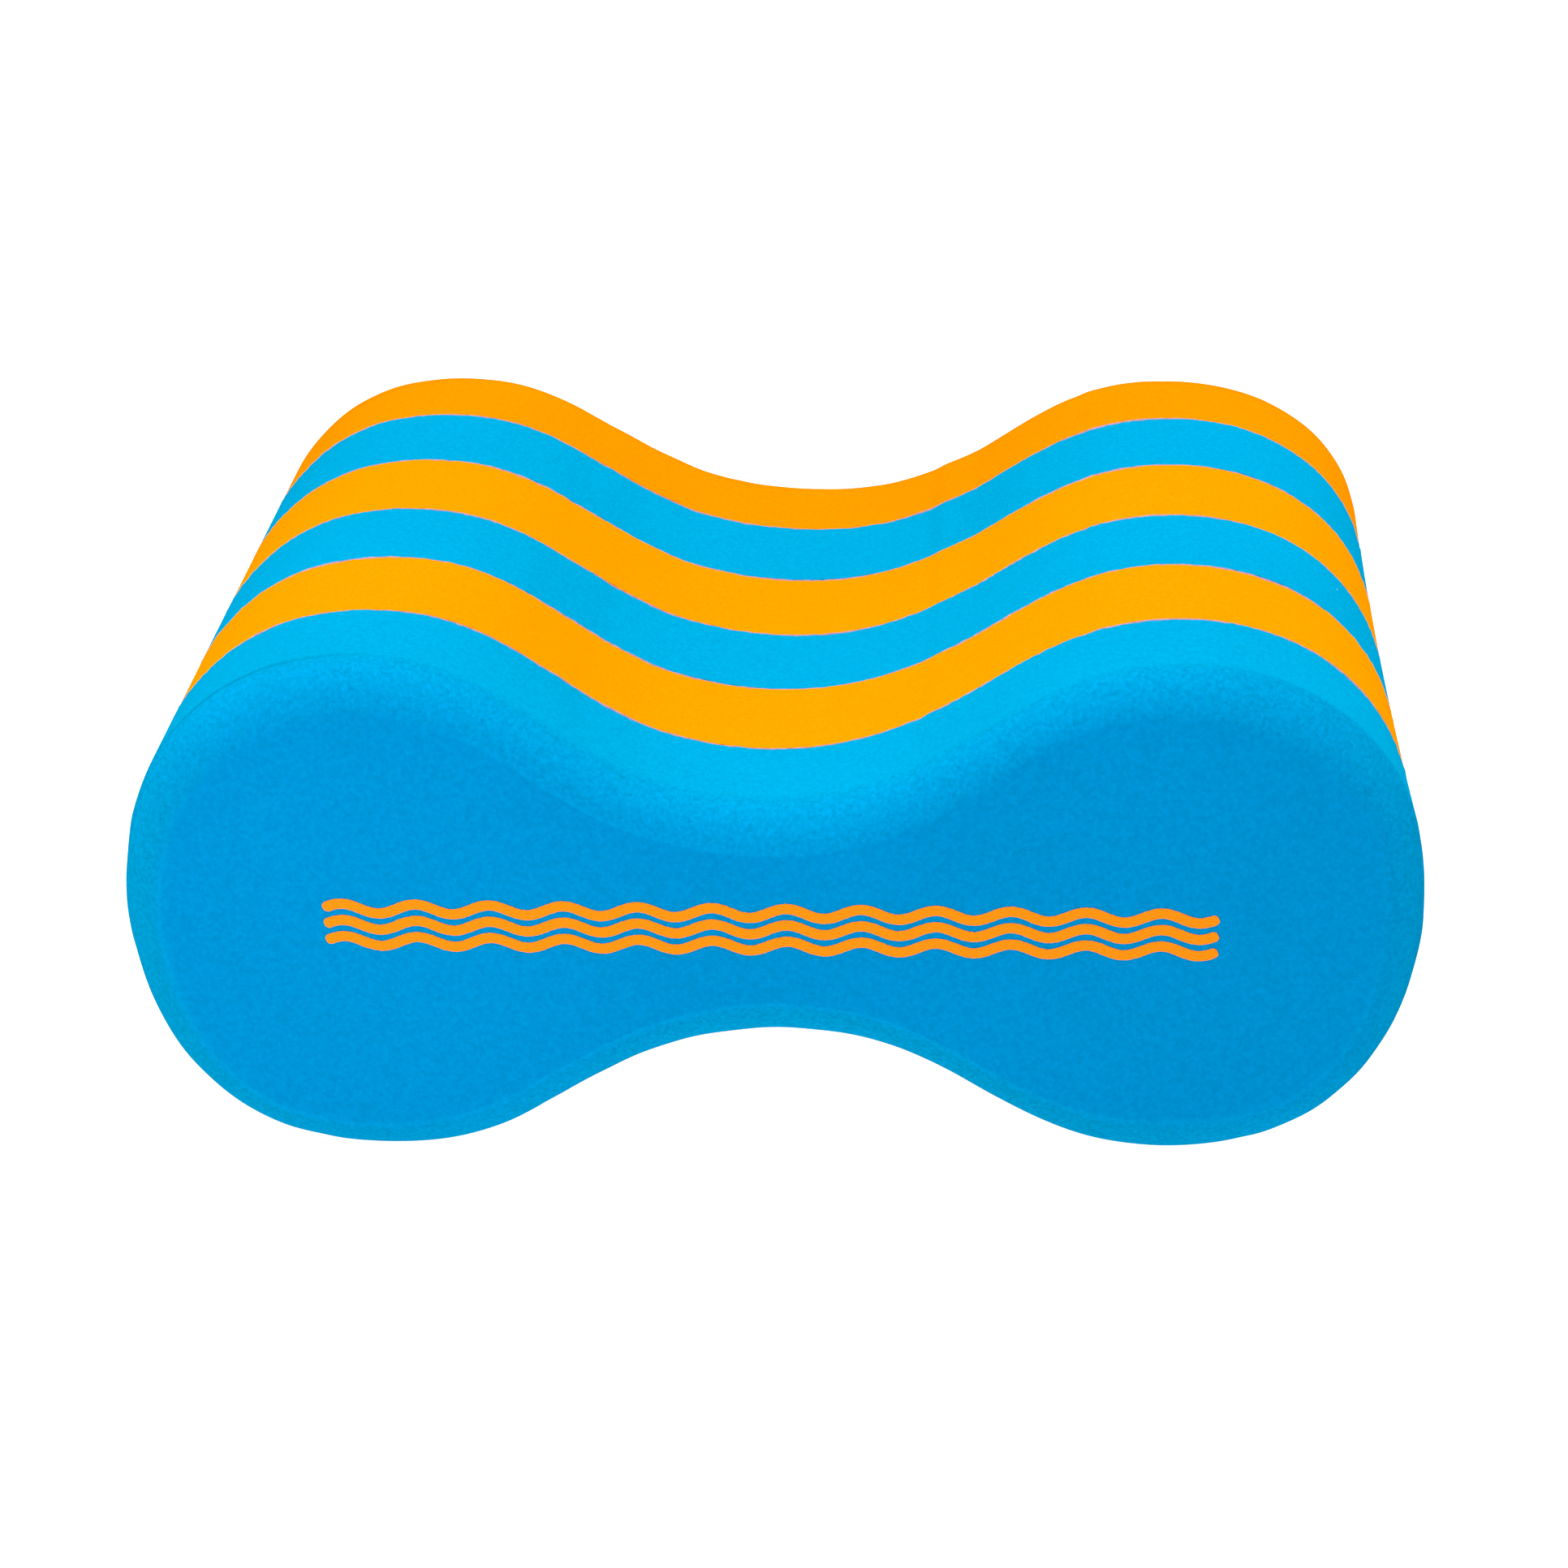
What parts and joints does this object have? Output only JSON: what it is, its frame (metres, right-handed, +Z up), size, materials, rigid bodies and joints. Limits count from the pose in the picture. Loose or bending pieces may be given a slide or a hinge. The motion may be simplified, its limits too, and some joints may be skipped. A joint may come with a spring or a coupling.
{
  "type": "pull buoy",
  "caption": "Laminated foam pull buoy in an hour-glass outline, with rounded front and back rims and a wave print on the front face.",
  "frame": {"origin": "under the middle of the block, on the surface that its two lobes stand on", "axes": "+X along the length from lobe to lobe, -Y out of the printed front face, +Z up"},
  "size_m": [0.24, 0.1478, 0.103],
  "materials": {
    "blue_foam": "matte closed-cell EVA foam with a fine cut grain",
    "orange_foam": "matte closed-cell EVA foam with a fine cut grain",
    "adhesive": "thin pale film of dried contact adhesive",
    "ink": "flat screen-printed ink"
  },
  "bodies": {
    "root": {"front_block": "blue_foam", "second_layer": "orange_foam", "third_layer": "blue_foam", "fourth_layer": "orange_foam", "fifth_layer": "blue_foam", "back_block": "orange_foam", "bond_line_1": "adhesive", "bond_line_2": "adhesive", "bond_line_3": "adhesive", "bond_line_4": "adhesive", "bond_line_5": "adhesive", "printed_wave_bottom": "ink", "printed_wave_middle": "ink", "printed_wave_top": "ink"}
  },
  "joints": []
}
